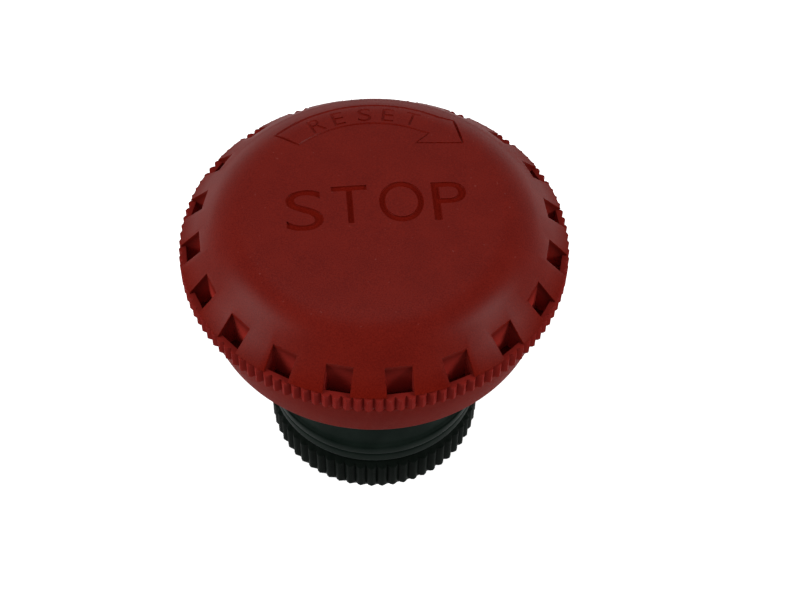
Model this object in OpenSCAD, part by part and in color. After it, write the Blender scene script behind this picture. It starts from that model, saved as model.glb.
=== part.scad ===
// Emergency stop switch: a mushroom head on a 16 mm barrel.
// Pushing the head latches it down, a clockwise turn releases it.
// Millimetres, +Z up. The origin is the centre of the barrel's end face, on which it rests.

/* [Cap] */
// Diameter over the knurled rim of the mushroom cap
cap_d = 40; // [38:0.5:44]
// Height of the cap, from the rim's lower edge to the crown
cap_h = 7.45; // [7.2:0.05:8.4]
// Radius of the gently domed top
crown_r = 300; // [150:10:600]
// Radius of the rounded shoulder between top and flank
shoulder_r = 6; // [5:0.25:7]
// Wall of the cap moulding
cap_wall = 2; // [1.6:0.1:2.2]
// Height of the knurled rim band
band_h = 2.3; // [1.8:0.1:2.6]
// Wall of the thin rim that closes the grip pockets outside
rim_wall = 0.8; // [0.7:0.05:1]
// Step in from the rim to the flank above it
flank_step = 0.2; // [0.1:0.05:0.4]
// Number of grip pockets round the flank
pocket_n = 20; // [16:1:24]
// Width of each grip pocket
pocket_w = 2.65; // [2.2:0.05:3]
// Distance from the rim in to the floor of the grip pockets
pocket_depth = 2.3; // [2:0.1:2.6]
// Wall between the grip pockets and the cap's hollow
pocket_wall = 1.5; // [1.2:0.1:1.8]
// Knurl ridges to each grip pocket
ridges_per_pocket = 6; // [4:1:7]
// Depth of the knurl ridges
knurl_depth = 0.45; // [0.3:0.05:0.5]
// Number of stiffening ribs under the top
rib_n = 8; // [6:1:12]
// Thickness of the ribs and stops under the top
rib_t = 1.2; // [1:0.1:1.5]

/* [Skirt] */
// Height of the under-shell below the rim
skirt_h = 7; // [6:0.25:8]
// Step in from the rim to the under-shell's upper edge
skirt_step = 0.5; // [0.4:0.1:0.8]
// How much the under-shell's radius narrows on its way down
skirt_taper = 1.9; // [1.4:0.1:2.2]
// Wall of the under-shell
skirt_wall = 1.2; // [1:0.1:1.4]
// Gap all round between the under-shell and the neck
neck_gap = 0.7; // [0.5:0.1:1]

/* [Housing] */
// Diameter of the neck under the cap
neck_d = 23.2; // [22.8:0.1:23.6]
// Height of the neck above the panel flange
neck_h = 16; // [15:0.25:17]
// Wall of the neck
neck_wall = 1.6; // [1.4:0.1:1.8]
// Diameter of the panel flange
flange_d = 23.8; // [23.7:0.1:24.4]
// Height of the panel flange
flange_h = 1.5; // [1.3:0.1:1.8]
// Diameter of the threaded barrel that goes through the panel
barrel_d = 16; // [15.8:0.1:16.2]
// Wall of the barrel at its open end
barrel_wall = 1.6; // [1.4:0.1:1.8]
// Length of barrel that stands out below the nut
stub_l = 6; // [5.5:0.25:6.75]
// Width of the keyway along the barrel
key_w = 2; // [1.6:0.1:2.4]
// Depth of the keyway along the barrel
key_depth = 0.8; // [0.6:0.05:0.9]
// Thickness of the floor between neck and barrel
web_t = 2.2; // [2:0.1:2.6]

/* [Panel fixing] */
// How far the ring nut's ridges stand out past the panel flange
nut_overhang = 0.1; // [0:0.05:0.4]
// Height of the ring nut
nut_h = 5.2; // [4.8:0.1:5.8]
// Number of grip ridges round the nut
nut_ridges = 60; // [48:2:72]
// Depth of the nut's grip ridges
nut_ridge_depth = 0.4; // [0.3:0.05:0.5]
// Thickness of the keyed steel washer
washer_t = 0.4; // [0.3:0.05:0.5]
// How far the keyed steel washer lies in from the panel flange's edge
washer_inset = 0.7; // [0.4:0.05:1]
// Thickness of the rubber panel gasket
gasket_t = 1.75; // [1.5:0.05:2]
// How far the rubber panel gasket lies in from the panel flange's edge
gasket_inset = 0.1; // [0.05:0.05:0.4]

/* [Mechanism] */
// Travel of the head from rest to latched
travel = 4; // [3.5:0.1:4.2]
// Turn that releases the latched head, in degrees
release_angle = 45; // [40:1:50]
// Diameter of the cam sleeve that turns with the cap
sleeve_d = 10; // [9.8:0.1:10.2]
// Diameter of the cam sleeve's top flange
sleeve_flange_d = 18; // [17.6:0.1:18.4]
// Thickness of the cam sleeve's top flange
sleeve_flange_t = 1.2; // [1:0.1:1.4]
// Slope of the latching cone, in degrees from the axis
cone_angle = 15; // [12:0.5:16]
// Height of the latching notch above the cone
notch_h = 1.7; // [1.7:0.1:2]
// Diameter of the plunger stem
stem_d = 5; // [4.8:0.1:5.1]
// Side of the stem's square lower rod
rod_w = 3.4; // [3:0.1:3.5]
// Diameter of the stem's head
head_d = 9.2; // [8.8:0.1:9.4]
// Thickness of the stem's head
head_t = 1.2; // [1:0.1:1.3]
// Room between the sleeve's flange and the cap's ceiling
head_room = 2.3; // [2.1:0.05:2.5]
// Thickness of the retaining clip on the stem
clip_t = 0.5; // [0.4:0.05:0.6]
// Diameter of the latch pins
pin_d = 1.6; // [1.4:0.05:1.7]
// Diameter of the collar on the latch pins
pin_collar_d = 2.6; // [2.4:0.05:2.7]
// Thickness of the collar on the latch pins
pin_collar_t = 0.7; // [0.5:0.05:0.8]
// Diameter of the wire of the return spring
return_wire = 0.8; // [0.6:0.05:0.9]
// Cross-section diameter of the shaft seal
seal_d = 1.1; // [1:0.05:1.2]

/* [Contacts] */
// Height of the contact carrier
carrier_h = 3.9; // [3.6:0.1:4.2]
// Wall of the contact carrier beside the hole for the rod
carrier_wall = 0.45; // [0.4:0.05:0.7]
// Thickness of the moving contact bridge
bridge_t = 0.4; // [0.3:0.05:0.5]
// Width of the moving contact bridge
bridge_w = 3.6; // [3.2:0.1:3.8]
// Diameter of the silver contact tips
tip_d = 1.8; // [1.6:0.1:2]
// Thickness of the silver contact tips
tip_t = 0.3; // [0.25:0.05:0.35]
// Thickness of the terminal strips
strip_t = 0.5; // [0.4:0.05:0.55]
// Width of the terminal strips
strip_w = 2.6; // [2.2:0.1:2.8]
// Thickness of the contact base
base_t = 1.5; // [1.3:0.1:1.7]

/* [Hidden] */
$fn = 96;

// Running gap of round fits, gap of parts that are only laid in, and end gap of travels
run_gap = 0.05;
seat_gap = 0.05;
stop_gap = 0.1;
// Overlap that cuts and joined features reach past a face
eps = 0.5;

// Heights of the panel fixing, from the barrel's end up
z_nut1 = stub_l + nut_h;
z_washer0 = z_nut1 + seat_gap;
z_gasket0 = z_washer0 + washer_t + seat_gap;
z_flange = z_gasket0 + gasket_t;

// Heights of the housing
z_neck0 = z_flange + flange_h;
z_neck1 = z_neck0 + neck_h;
z_web0 = z_neck0 - web_t;

// Heights of the cap: it clears the neck when pressed
cap_lift = 3.55;
z_rim = z_neck1 + cap_lift;
z_ceiling = z_rim + cap_h - cap_wall;

// Heights of the cam sleeve, the pins and the stem
sleeve_end_gap = 0.15;
z_sleeve0 = z_neck0 + travel + sleeve_end_gap;
z_pin = z_sleeve0 + stop_gap + pin_d / 2;
z_cone0 = z_pin + pin_d / 2;
z_cone1 = z_cone0 + travel;
z_notch1 = z_cone1 + notch_h;
z_flange1 = z_ceiling - head_room;
z_flange0 = z_flange1 - sleeve_flange_t;
z_head0 = z_flange1 + stop_gap;
z_clip1 = z_sleeve0 - run_gap;
z_clip0 = z_clip1 - clip_t;
clip_lip = 0.35;
z_rod1 = z_clip0 - run_gap - clip_lip;

// Heights of the latch cage and the cover
cage_roof = 0.65;
z_cage1 = z_pin + pin_collar_d / 2 + cage_roof;
seat_over_cone = 0.6;
z_seat = z_cone1 + seat_over_cone;
cover_boss_h = 3.6;
z_cover1 = z_seat + cover_boss_h;
z_seal = (z_notch1 + z_cover1) / 2;

// Heights of the contact chamber
z_carrier1 = z_web0 - stop_gap;
z_carrier0 = z_carrier1 - carrier_h;
carrier_top_t = 1.1;
carrier_floor_t = 0.9;
z_window1 = z_carrier1 - carrier_top_t;
z_window0 = z_carrier0 + carrier_floor_t;
z_bridge1 = z_window1 - seat_gap;
z_bridge0 = z_bridge1 - bridge_t;
z_fixed_tip0 = z_bridge1 + tip_t + seat_gap;
z_strip0 = z_fixed_tip0 + tip_t;
base_gap = 0.3;
z_base1 = z_carrier0 - travel - base_gap;
z_base0 = z_base1 - base_t;
z_tab0 = 0.5;

// Radii of the cap
rim_r = cap_d / 2;
flank_r = rim_r - flank_step;
flank_sum = flank_r + band_h;
pocket_r = rim_r - pocket_depth;
rim_in_r = rim_r - rim_wall;
hollow_r = pocket_r - pocket_wall;

// Centre of the shoulder's round: it meets the crown and the 45 degree flank without an edge
crown_drop = crown_r - cap_h;
sum_shoulder = flank_sum - sqrt(2) * shoulder_r;
reach = sum_shoulder + crown_drop;
shoulder_x = (reach - sqrt(2 * pow(crown_r - shoulder_r, 2) - pow(reach, 2))) / 2;
shoulder_z = sum_shoulder - shoulder_x;

// Radii of the housing and of what it holds
neck_r = neck_d / 2;
neck_in_r = neck_r - neck_wall;
insert_r = neck_in_r - seat_gap;
flange_r = flange_d / 2;
barrel_r = barrel_d / 2;
base_r = barrel_r - barrel_wall;
base_ledge = 0.3;
chamber_r = base_r - base_ledge;

// Radii of the mechanism
sleeve_r = sleeve_d / 2;
sleeve_flange_r = sleeve_flange_d / 2;
cone_rise = travel * tan(cone_angle);
cone_r0 = sleeve_r - cone_rise;
stem_r = stem_d / 2;
head_r = head_d / 2;
guide_r = sleeve_r + run_gap;
cage_gap = 0.6;
cage_in_r = sleeve_r + cage_gap;
clip_w = 1.2;
clip_r = stem_r + clip_w;
clip_groove = 0.5;
clip_groove_r = stem_r - clip_groove;
pin_tip_gap = 0.07;
pin_tip = cone_r0 + pin_tip_gap;
pin_guide_l = 0.65;
pin_step = cage_in_r + pin_guide_l;
pin_collar0 = pin_step + stop_gap;
pin_collar1 = pin_collar0 + pin_collar_t;
pin_bore_r = pin_collar_d / 2 + stop_gap;
stop_room = 0.3;
stop_r0 = head_r + stop_room;
stop_l = 2;
stop_r1 = stop_r0 + stop_l;
lug_inset = 0.2;
lug_r = stop_r1 - lug_inset;

// Half the angle that a stop covers, the angle left at each end of the turn and the lug's width
stop_angle = atan(rib_t / 2 / stop_r0);
end_angle = 1;
lug_angle = 90 - release_angle - 2 * stop_angle - 2 * end_angle;

// Key teeth on the collar under the cap: how far they reach in, and their width
tooth_in = 0.8;
tooth_w = 1.8;

// Distances of the terminal legs, the contact tips and the terminal arms from the axis
leg_gap = 0.3;
leg_x1 = chamber_r - leg_gap;
leg_x0 = leg_x1 - strip_t;
bridge_l = 2 * (leg_x0 - leg_gap);
tip_edge = 0.05;
tip_x = bridge_l / 2 - tip_d / 2 - tip_edge;
arm_x = tip_x - tip_d / 2 - tip_edge;

// Widths of the square hole for the rod, and of the carrier round it
rod_hole_w = rod_w + 2 * run_gap;
carrier_w = rod_hole_w + 2 * carrier_wall;

// Colours
red = [0.40, 0.11, 0.09];
dark_green = [0.06, 0.09, 0.07];
black = [0.07, 0.07, 0.07];
steel = [0.62, 0.63, 0.65];
brass = [0.72, 0.58, 0.30];
silver = [0.80, 0.80, 0.82];
rubber = [0.10, 0.11, 0.10];
cream = [0.85, 0.82, 0.74];

// Outline of the cap's half section from z_low up, set in by inset from the outer skin
module cap_section(inset, side_r, z_low) {
    round_r = shoulder_r - inset;
    line_sum = flank_sum - sqrt(2) * inset;
    tilt = asin(shoulder_x / (crown_r - shoulder_r));
    meet = [shoulder_x + round_r * sin(tilt), shoulder_z + round_r * cos(tilt)];
    corner = [shoulder_x + round_r / sqrt(2), shoulder_z + round_r / sqrt(2)];
    intersection() {
        translate([0, z_low]) square([side_r, cap_h - z_low]);
        translate([0, -crown_drop]) circle(crown_r - inset, $fn = 720);
        union() {
            translate([shoulder_x, shoulder_z]) circle(round_r);
            polygon([[0, z_low], [side_r, z_low], [side_r, line_sum - side_r], corner,
                     [shoulder_x, shoulder_z], meet, [0, meet[1] + meet[0] * tan(tilt)]]);
        }
    }
}

// Star outline with n pointed ridges
module ridged_disc(r, depth, n) {
    polygon([for (i = [0 : 2 * n - 1])
        let (a = 180 * i / n, q = i % 2 == 0 ? r : r - depth) [q * cos(a), q * sin(a)]]);
}

// Flat ring between two radii
module ring(r0, r1, z0, z1) {
    translate([0, 0, z0]) linear_extrude(z1 - z0) difference() {
        circle(r1);
        circle(r0);
    }
}

// Wedge-shaped piece of a ring, centred on an angle
module sector(r0, r1, half, z0, z1) {
    far = 2 * r1;
    translate([0, 0, z0]) linear_extrude(z1 - z0) intersection() {
        difference() {
            circle(r1);
            circle(r0);
        }
        polygon([[0, 0], far * [cos(half), -sin(half)], far * [cos(half), sin(half)]]);
    }
}

// Centre line of a coil with closed end turns, its wire lying between 0 and h
function coil_z(t, n, h, w, dead, p) =
    t < dead ? w + p * t
    : t > n - dead ? h - w - p * (n - t)
    : w + p * dead + (t - dead) * (h - 2 * w - 2 * p * dead) / (n - 2 * dead);
function coil_path(r, n, h, w, steps, dead = 0.75) = [for (i = [0 : n * steps])
    [r * cos(360 * i / steps), r * sin(360 * i / steps),
     coil_z(i / steps, n, h, w, dead, 2.15 * w)]];
function unit(v) = v / norm(v);

// Round wire of radius w swept along a path that stays away from the vertical
module wire(path, w, sides = 6) {
    n = len(path);
    rings = [for (i = [0 : n - 1])
        let (t = unit(path[min(i + 1, n - 1)] - path[max(i - 1, 0)]),
             s = unit(cross(t, [0, 0, 1])), b = cross(s, t))
        for (k = [0 : sides - 1])
            path[i] + w * (cos(360 * k / sides) * s + sin(360 * k / sides) * b)];
    skin = [for (i = [0 : n - 2], k = [0 : sides - 1])
        let (a = i * sides + k, c = i * sides + (k + 1) % sides) [a, c, c + sides, a + sides]];
    ends = [[for (k = [sides - 1 : -1 : 0]) k], [for (k = [0 : sides - 1]) (n - 1) * sides + k]];
    polyhedron(rings, concat(skin, ends));
}

// Red cap: domed top, knurled rim, open grip pockets, and a ribbed hollow below
module mushroom_cap() {
    color(red) translate([0, 0, z_rim]) {
        difference() {
            union() {
                rotate_extrude() cap_section(0, flank_r, band_h);
                linear_extrude(band_h) ridged_disc(rim_r, knurl_depth, pocket_n * ridges_per_pocket);
            }
            rotate_extrude() cap_section(cap_wall, hollow_r, -eps);
            intersection() {
                grip_pockets(-eps, band_h);
                translate([0, 0, -2 * eps]) cylinder(r = rim_in_r, h = band_h + 4 * eps);
            }
            grip_pockets(band_h, cap_h);
        }
        cap_inside();
    }
}

// Blocks that cut the grip pockets between two heights, half a pitch off the front
module grip_pockets(z0, z1) {
    for (i = [0 : pocket_n - 1])
        rotate(-90 + (i + 0.5) * 360 / pocket_n)
            translate([pocket_r, -pocket_w / 2, z0]) cube([rim_r, pocket_w, z1 - z0]);
}

// Collar that holds the sleeve's flange, ribs out to the wall, and turn stops
module cap_inside() {
    collar_r = sleeve_flange_r + run_gap;
    collar_t = 1.2;
    bead = 0.3;
    z_bead = z_flange0 - z_rim - seat_gap - bead;
    rib_z = z_bead - stop_gap;
    intersection() {
        union() {
            ring(collar_r, collar_r + collar_t, z_bead, cap_h);
            ring(collar_r - bead, collar_r + collar_t, z_bead, z_bead + bead);
            for (i = [0 : rib_n - 1])
                rotate((i + 0.5) * 360 / rib_n)
                    translate([collar_r + collar_t / 2, -rib_t / 2, rib_z])
                        cube([hollow_r - collar_r, rib_t, cap_h]);
            for (a = [90, 270])
                rotate(a) translate([collar_r - tooth_in, -tooth_w / 2, z_flange0 - z_rim + seat_gap])
                    cube([tooth_in + collar_t / 2, tooth_w, cap_h]);
            for (a = [0 : 90 : 270])
                rotate(a + release_angle / 2)
                    translate([stop_r0, -rib_t / 2, z_flange1 - z_rim + 2 * stop_gap])
                        cube([stop_l, rib_t, cap_h]);
        }
        rotate_extrude() cap_section(cap_wall / 2, hollow_r + pocket_wall / 2, rib_z);
    }
}

// Red under-shell: closes the pockets below, tapers in and shrouds the neck
module cap_skirt() {
    top_r = rim_r - skirt_step;
    foot_r = top_r - skirt_taper;
    hole_r = neck_r + neck_gap;
    spigot_r = hollow_r - run_gap;
    spigot_h = 1;
    floor_z = skirt_wall - skirt_h;
    lip_t = 1;
    lip_h = 2;
    edge = 0.25;
    color(red) translate([0, 0, z_rim]) rotate_extrude() polygon([
        [hole_r, -skirt_h], [foot_r - edge, -skirt_h], [foot_r, edge - skirt_h],
        [top_r, -edge], [top_r - edge, 0], [spigot_r, 0], [spigot_r, spigot_h],
        [spigot_r - skirt_wall, spigot_h], [spigot_r - skirt_wall, -skirt_wall],
        [top_r - skirt_wall, -skirt_wall], [foot_r - skirt_wall, floor_z],
        [hole_r + lip_t, floor_z], [hole_r + lip_t, floor_z + lip_h], [hole_r, floor_z + lip_h]]);
}

// Sleeve that turns with the cap: flange, latching cone, and flats that let the pins in
module cam_sleeve() {
    color(cream) difference() {
        rotate_extrude() polygon([
            [stem_r + run_gap, z_sleeve0], [cone_r0, z_sleeve0], [cone_r0, z_cone0],
            [sleeve_r, z_cone1], [sleeve_r, z_flange0], [sleeve_flange_r, z_flange0],
            [sleeve_flange_r, z_flange1], [stem_r + run_gap, z_flange1]]);
        for (a = [0, 180])
            rotate(a) translate([cone_r0, -sleeve_r, z_cone1]) cube([sleeve_r, sleeve_d, notch_h]);
        for (a = [90, 270])
            rotate(a)
                translate([sleeve_flange_r - tooth_in - stop_gap, -tooth_w / 2 - stop_gap, z_flange0 - eps])
                    cube([2 * tooth_in, tooth_w + 2 * stop_gap, sleeve_flange_t + 2 * eps]);
    }
}

// Flat torsion spring that turns the released head back, with a leg at each end
module reset_spring() {
    w = 0.25;
    turn_n = 2;
    coil_gap = 0.4;
    coil_r = stop_r1 + coil_gap + w;
    top_gap = 0.7;
    leg_in = 1.6;
    leg_out = 0.5;
    leg_angle = 12;
    path = coil_path(coil_r, turn_n, head_room - top_gap, w, 24, 0);
    last = path[len(path) - 1];
    color(steel) translate([0, 0, z_flange1 + seat_gap]) rotate(release_angle / 2 + leg_angle)
        wire(concat([path[0] - [leg_in, 0, 0]], path, [last + [leg_out, 0, 0]]), w);
}

// Stem: head with two stop lugs, round shank for the sleeve, square rod through the floor
module stem() {
    color(steel) {
        rotate_extrude() polygon([
            [0, z_rod1], [stem_r, z_rod1], [stem_r, z_clip0 - run_gap],
            [clip_groove_r, z_clip0 - run_gap], [clip_groove_r, z_clip1 + run_gap],
            [stem_r, z_clip1 + run_gap], [stem_r, z_head0], [head_r, z_head0],
            [head_r, z_head0 + head_t], [0, z_head0 + head_t]]);
        translate([-rod_w / 2, -rod_w / 2, z_window1 + seat_gap])
            cube([rod_w, rod_w, z_rod1 - z_window1]);
        for (a = [0, 180])
            rotate(a - 45) sector(head_r - eps, lug_r, lug_angle / 2, z_head0, z_head0 + head_t);
    }
}

// Open retaining clip under the sleeve
module stem_clip() {
    inner_r = clip_groove_r + run_gap;
    mouth_w = 1.6 * inner_r;
    color(steel) difference() {
        ring(inner_r, clip_r, z_clip0, z_clip1);
        translate([0, -mouth_w / 2, z_clip0 - eps]) cube([2 * clip_r, mouth_w, clip_t + 2 * eps]);
    }
}

// Carrier that hangs on the rod and holds the bridge in its window
module contact_carrier() {
    side_gap = 0.2;
    half_y = bridge_w / 2 + side_gap;
    wall = 1.9;
    color(cream) difference() {
        translate([-carrier_w / 2, -half_y - wall, z_carrier0])
            cube([carrier_w, 2 * (half_y + wall), carrier_h]);
        translate([-carrier_w, -half_y, z_window0])
            cube([2 * carrier_w, 2 * half_y, z_window1 - z_window0]);
        translate([-rod_hole_w / 2, -rod_hole_w / 2, z_window1 - eps])
            cube([rod_hole_w, rod_hole_w, carrier_top_t + 2 * eps]);
    }
}

// Moving bridge that joins the two fixed contacts
module contact_bridge() {
    color(brass) translate([-bridge_l / 2, -bridge_w / 2, z_bridge0])
        cube([bridge_l, bridge_w, bridge_t]);
}

// Pair of silver tips at a height
module tip_pair(z) {
    color(silver) for (s = [-1, 1]) translate([s * tip_x, 0, z]) cylinder(d = tip_d, h = tip_t);
}
module moving_tips() { tip_pair(z_bridge1); }
module fixed_tips() { tip_pair(z_fixed_tip0); }

// Spring that presses the bridge up in the carrier's window
module contact_spring() {
    w = 0.125;
    coil_r = 1.2;
    turn_n = 3;
    color(steel) translate([0, 0, z_window0])
        wire(coil_path(coil_r, turn_n, z_bridge0 - z_window0, w, 12), w);
}

// Housing: neck, panel flange, floor with a square hole, and keyed barrel
module housing() {
    recess_z = z_rod1 - travel - stop_gap;
    recess_gap = 0.5;
    edge = 0.25;
    color(dark_green) difference() {
        rotate_extrude() difference() {
            polygon([[0, 0], [barrel_r - edge, 0], [barrel_r, edge], [barrel_r, z_flange],
                     [flange_r - edge, z_flange], [flange_r, z_flange + edge],
                     [flange_r, z_neck0 - edge], [flange_r - edge, z_neck0],
                     [neck_r, z_neck0], [neck_r, z_neck1 - edge], [neck_r - edge, z_neck1],
                     [0, z_neck1]]);
            translate([0, z_neck0]) square([neck_in_r, neck_h + eps]);
            translate([0, recess_z]) square([clip_r + recess_gap, web_t]);
            translate([0, -eps]) square([chamber_r, z_web0 + eps]);
            translate([0, -eps]) square([base_r, z_base1 + eps]);
        }
        translate([-rod_hole_w / 2, -rod_hole_w / 2, z_web0 - eps])
            cube([rod_hole_w, rod_hole_w, web_t + 2 * eps]);
        translate([-key_w / 2, barrel_r - key_depth, -eps])
            cube([key_w, barrel_r, z_flange + eps]);
    }
}

// Cage on the floor with a stepped bore for each latch pin
module latch_cage() {
    color(cream) difference() {
        ring(cage_in_r, insert_r, z_neck0, z_cage1);
        translate([0, 0, z_pin]) rotate([0, 90, 0]) {
            translate([0, 0, -insert_r]) cylinder(r = pin_d / 2 + run_gap, h = 2 * insert_r);
            for (a = [0, 180])
                rotate([a, 0, 0]) translate([0, 0, pin_step]) cylinder(r = pin_bore_r, h = insert_r);
        }
    }
}

// Cover over the cage: seat of the return spring and guide of the sleeve
module housing_cover() {
    boss_t = 2.1;
    boss_r = sleeve_r + boss_t;
    groove_gap = 0.1;
    groove_r = guide_r + seal_d + groove_gap;
    groove_h = seal_d + groove_gap;
    color(cream) rotate_extrude() difference() {
        polygon([[guide_r, z_cage1], [insert_r, z_cage1], [insert_r, z_seat], [boss_r, z_seat],
                 [boss_r, z_cover1], [guide_r, z_cover1]]);
        translate([0, z_cage1 - eps]) square([cage_in_r, z_notch1 - z_cage1 + eps]);
        translate([0, z_seal - groove_h / 2]) square([groove_r, groove_h]);
    }
}

// Rubber ring between the cover and the sleeve
module shaft_seal() {
    color(rubber) rotate_extrude()
        translate([guide_r + seal_d / 2, z_seal]) circle(d = seal_d, $fn = 32);
}

// Coil that lifts the head again
module return_spring() {
    w = return_wire / 2;
    edge_gap = 0.4;
    turn_n = 5;
    color(steel) translate([0, 0, z_seat])
        wire(coil_path(sleeve_flange_r - edge_gap - w, turn_n, z_flange0 - z_seat, w, 18), w);
}

// Latch pin along +X: tip on the cone, collar in the cage, tail inside its spring
module latch_pin() {
    tail_gap = 0.3;
    tail = insert_r - cone_rise - tail_gap;
    tail_r = 0.5;
    edge = 0.2;
    color(steel) translate([0, 0, z_pin]) rotate([0, 90, 0]) rotate_extrude() polygon([
        [0, pin_tip], [pin_d / 2 - edge, pin_tip], [pin_d / 2, pin_tip + edge],
        [pin_d / 2, pin_collar0], [pin_collar_d / 2, pin_collar0],
        [pin_collar_d / 2, pin_collar1], [tail_r, pin_collar1], [tail_r, tail], [0, tail]]);
}
module latch_pin_a() { latch_pin(); }
module latch_pin_b() { rotate(180) latch_pin(); }

// Coil behind a latch pin, from its collar out to the neck's wall
module latch_spring() {
    w = 0.125;
    coil_r = 0.95;
    turn_n = 4;
    color(steel) translate([0, 0, z_pin]) rotate([0, 90, 0]) translate([0, 0, pin_collar1])
        wire(coil_path(coil_r, turn_n, insert_r - pin_collar1, w, 12), w);
}
module latch_spring_a() { latch_spring(); }
module latch_spring_b() { rotate(180) latch_spring(); }

// Rubber ring that seals against the panel
module panel_gasket() {
    edge = 0.2;
    r0 = barrel_r + run_gap;
    r1 = flange_r - gasket_inset;
    color(rubber) rotate_extrude() polygon([
        [r0, z_gasket0], [r1 - edge, z_gasket0], [r1, z_gasket0 + edge],
        [r1, z_flange - edge], [r1 - edge, z_flange], [r0, z_flange]]);
}

// Steel washer whose tongue slides in the keyway
module key_washer() {
    hole_r = barrel_r + run_gap;
    tongue_w = key_w - 2 * run_gap;
    color(steel) translate([0, 0, z_washer0]) linear_extrude(washer_t) difference() {
        circle(flange_r - washer_inset);
        difference() {
            circle(hole_r);
            translate([-tongue_w / 2, barrel_r - key_depth + run_gap]) square([tongue_w, barrel_r]);
        }
    }
}

// Round ring nut with pointed grip ridges and a chamfered lower edge
module ring_nut() {
    r = flange_r + nut_overhang;
    low_edge = 0.7;
    top_edge = 0.2;
    out = 0.2;
    color(black) intersection() {
        translate([0, 0, stub_l]) linear_extrude(nut_h) difference() {
            ridged_disc(r, nut_ridge_depth, nut_ridges);
            circle(barrel_r + run_gap);
        }
        rotate_extrude() polygon([
            [0, stub_l], [r - low_edge, stub_l], [r + out, stub_l + low_edge + out],
            [r + out, z_nut1 - top_edge - out], [r - top_edge, z_nut1], [0, z_nut1]]);
    }
}

// Disc that closes the barrel and holds both terminals
module contact_base() {
    slot_w = strip_w + 2 * run_gap;
    slot_t = strip_t + 2 * run_gap;
    color(black) difference() {
        translate([0, 0, z_base0]) cylinder(r = base_r - run_gap, h = base_t);
        for (a = [0, 180])
            rotate(a) translate([leg_x0 - run_gap, -slot_w / 2, z_base0 - eps])
                cube([slot_t, slot_w, base_t + 2 * eps]);
    }
}

// Terminal strip along +X: arm over the bridge, leg down through the base
module terminal() {
    color(brass) {
        translate([arm_x, -strip_w / 2, z_strip0]) cube([leg_x1 - arm_x, strip_w, strip_t]);
        translate([leg_x0, -strip_w / 2, z_tab0]) cube([strip_t, strip_w, z_strip0 + strip_t - z_tab0]);
    }
}
module terminal_left() { rotate(180) terminal(); }
module terminal_right() { terminal(); }

mushroom_cap();
cap_skirt();
cam_sleeve();
reset_spring();
stem();
stem_clip();
contact_carrier();
contact_bridge();
moving_tips();
contact_spring();
housing();
latch_cage();
housing_cover();
shaft_seal();
return_spring();
latch_pin_a();
latch_pin_b();
latch_spring_a();
latch_spring_b();
panel_gasket();
key_washer();
ring_nut();
contact_base();
terminal_left();
terminal_right();
fixed_tips();
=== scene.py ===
import math

import bpy
from mathutils import Matrix, Vector


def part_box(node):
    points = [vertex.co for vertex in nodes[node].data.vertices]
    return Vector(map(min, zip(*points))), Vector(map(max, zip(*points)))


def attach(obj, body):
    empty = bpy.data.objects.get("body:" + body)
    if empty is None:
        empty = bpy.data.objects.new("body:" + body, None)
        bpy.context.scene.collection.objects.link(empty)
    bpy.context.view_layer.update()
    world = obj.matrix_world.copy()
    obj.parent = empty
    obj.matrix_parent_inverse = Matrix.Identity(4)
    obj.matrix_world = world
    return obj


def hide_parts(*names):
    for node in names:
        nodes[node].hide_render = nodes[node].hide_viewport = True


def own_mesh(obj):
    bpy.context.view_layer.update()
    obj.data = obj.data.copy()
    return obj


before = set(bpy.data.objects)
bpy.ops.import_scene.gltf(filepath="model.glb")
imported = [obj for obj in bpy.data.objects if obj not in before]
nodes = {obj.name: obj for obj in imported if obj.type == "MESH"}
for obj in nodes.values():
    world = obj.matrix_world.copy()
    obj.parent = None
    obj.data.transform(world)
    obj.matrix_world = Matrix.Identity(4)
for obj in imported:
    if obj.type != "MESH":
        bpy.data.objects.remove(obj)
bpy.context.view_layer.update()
mm = 0.001


# The camera stands above the front of the switch and looks down on the dome at 53 degrees,
# as in the photograph, from so near that the barrel below tapers away.
elevation = math.radians(53.0)
roll = math.radians(1.35)
distance = 160 * mm
aim = Vector((2.76 * mm, 0, 26.15 * mm))
focal_length = 66.5
film_width = 36
back = Vector((0, -math.cos(elevation), math.sin(elevation)))
side = Vector((1, 0, 0))
up = back.cross(side)
camera_x = math.cos(roll) * side + math.sin(roll) * up
camera_y = math.cos(roll) * up - math.sin(roll) * side
bpy.ops.object.camera_add()
camera = bpy.context.object
camera.name = "camera"
camera.data.sensor_width = film_width
camera.data.lens = focal_length
camera.data.clip_start = 10 * mm
turned_view = Matrix((camera_x, camera_y, back)).transposed().to_4x4()
camera.matrix_world = Matrix.Translation(aim + distance * back) @ turned_view
bpy.context.scene.camera = camera


# The housing is one moulding of dark glass-filled plastic: the neck that the cap slides round,
# the panel flange, and the barrel with its 16 mm thread of 1 mm pitch, which the keyway cuts through.
def drawn(name, points):
    """A wire: one vertex set at the first point (x, y, z) and drawn on through the others."""
    bpy.ops.object.select_all(action="DESELECT")
    bpy.ops.mesh.primitive_plane_add(size=mm, location=points[0])
    piece = bpy.context.object
    piece.name = name
    bpy.ops.object.transform_apply(location=True, rotation=False, scale=False)
    bpy.ops.object.mode_set(mode="EDIT")
    bpy.ops.mesh.select_mode(type="VERT")
    bpy.ops.mesh.select_all(action="SELECT")
    bpy.ops.mesh.merge(type="CENTER")
    for last, point in zip(points, points[1:]):
        step = Vector(point) - Vector(last)
        bpy.ops.mesh.extrude_region_move(TRANSFORM_OT_translate={"value": step})
    bpy.ops.object.mode_set(mode="OBJECT")
    return piece


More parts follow.
